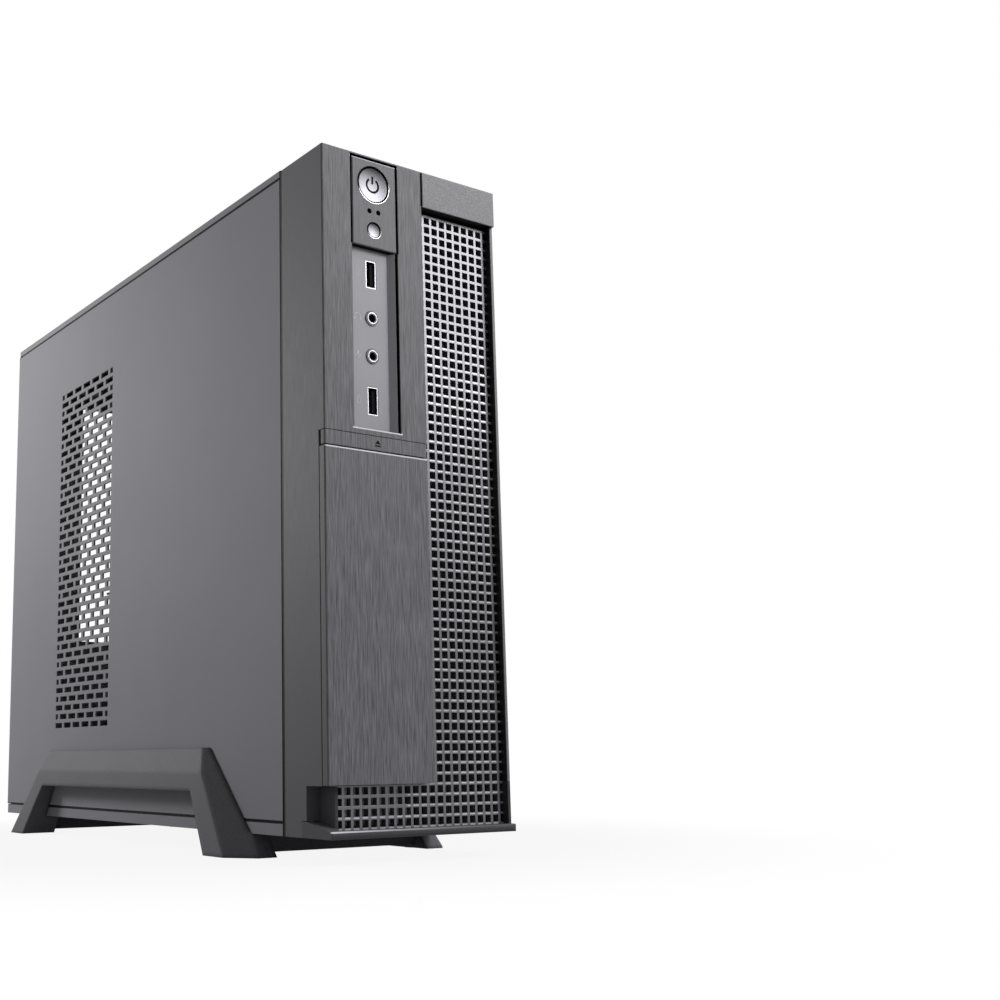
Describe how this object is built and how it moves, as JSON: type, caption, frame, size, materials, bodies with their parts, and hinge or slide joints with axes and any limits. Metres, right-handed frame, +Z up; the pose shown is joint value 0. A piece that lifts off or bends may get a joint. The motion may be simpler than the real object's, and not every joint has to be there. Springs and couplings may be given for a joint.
{
  "type": "desktop computer tower",
  "caption": "Slim upright computer tower on a moulded cradle, with a brushed front, side-hung drive door, square mesh intake and vented steel side cover.",
  "frame": {"origin": "on the floor under the middle of the overall box", "axes": "+Z up, +Y from the front bezel towards the rear, +X to the right seen from the front"},
  "size_m": [0.124, 0.3638, 0.312],
  "materials": {
    "stand_plastic": "moulded matt",
    "rubber": "plain rubber",
    "painted_steel": "fine charcoal paint",
    "plain_steel": "zinc-plated sheet",
    "bezel_plastic": "brushed on the front, matt on the sides",
    "cap_plastic": "fine grain",
    "mesh_plastic": "satin",
    "panel_plastic": "satin",
    "button_plastic": "satin, dished",
    "socket_plate": "satin",
    "lamp": "smoked clear plastic",
    "circuit_board": "solder mask",
    "bright_metal": "nickel plate",
    "dark_screw": "black plated",
    "black_plastic": "moulded",
    "fin_metal": "extruded",
    "drive_metal": "folded and cast casing"
  },
  "bodies": {
    "stand": {"stand_cradle": "stand_plastic", "stand_pads": "rubber"},
    "tower": {"side_feet": "rubber", "chassis_floor": "painted_steel", "chassis_roof": "painted_steel", "right_wall": "painted_steel", "front_plate": "plain_steel", "rear_panel": "plain_steel", "slot_covers": "plain_steel", "motherboard_tray": "plain_steel", "drive_cage": "plain_steel", "psu_case": "plain_steel", "bezel_shell": "bezel_plastic", "grille_frame": "cap_plastic", "mesh_grille": "mesh_plastic", "power_panel": "panel_plastic", "io_plate": "socket_plate", "led_pipes": "lamp", "button_board": "circuit_board", "front_io_board": "circuit_board", "motherboard": "circuit_board", "memory_modules": "circuit_board", "psu_core": "circuit_board", "front_usb_shells": "bright_metal", "rear_ports": "bright_metal", "standoffs": "bright_metal", "motherboard_screws": "bright_metal", "slot_screws": "bright_metal", "door_hinge_pin": "bright_metal", "cpu": "bright_metal", "front_usb_tongues": "black_plastic", "front_audio_jacks": "black_plastic", "button_switches": "black_plastic", "cpu_socket": "black_plastic", "cooler_fan_frame": "black_plastic", "memory_slots": "black_plastic", "card_connector": "black_plastic", "psu_fan_frame": "black_plastic", "ac_inlet": "black_plastic", "optical_tray": "black_plastic", "heatsink": "fin_metal", "optical_drive": "drive_metal", "hard_drive": "drive_metal"},
    "side_panel": {"left_panel": "painted_steel", "panel_thumbscrews": "dark_screw"},
    "door": {"drive_door": "bezel_plastic"},
    "eject": {"eject_bar": "bezel_plastic"},
    "power": {"power_button": "button_plastic"},
    "reset": {"reset_button": "button_plastic"},
    "cooler_rotor": {"cooler_fan_rotor": "black_plastic"},
    "psu_rotor": {"psu_fan_rotor": "black_plastic"}
  },
  "joints": [
    {"name": "tower_lift", "type": "slide", "parent": "stand", "child": "tower", "axis": [0, 0, 1], "range_m": [0, 0.06]},
    {"name": "panel_slide", "type": "slide", "parent": "tower", "child": "side_panel", "axis": [0, 1, 0], "range_m": [0, 0.33]},
    {"name": "door_hinge", "type": "hinge", "parent": "tower", "child": "door", "pos_m": [0.0035, -0.17705, 0.0319], "axis": [0, 0, 1], "range_deg": [0, 90]},
    {"name": "eject_press", "type": "slide", "parent": "tower", "child": "eject", "axis": [0, 1, 0], "range_m": [0, 0.0015], "stiffness_N_per_m": 400},
    {"name": "power_press", "type": "slide", "parent": "tower", "child": "power", "axis": [0, 1, 0], "range_m": [0, 0.0015], "stiffness_N_per_m": 600},
    {"name": "reset_press", "type": "slide", "parent": "tower", "child": "reset", "axis": [0, 1, 0], "range_m": [0, 0.001], "stiffness_N_per_m": 500},
    {"name": "cooler_fan_spin", "type": "hinge", "parent": "tower", "child": "cooler_rotor", "pos_m": [0.01, 0.10885, 0.2175], "axis": [1, 0, 0], "continuous": true},
    {"name": "psu_fan_spin", "type": "hinge", "parent": "tower", "child": "psu_rotor", "pos_m": [0.01, -0.08955, 0.265], "axis": [1, 0, 0], "continuous": true}
  ]
}
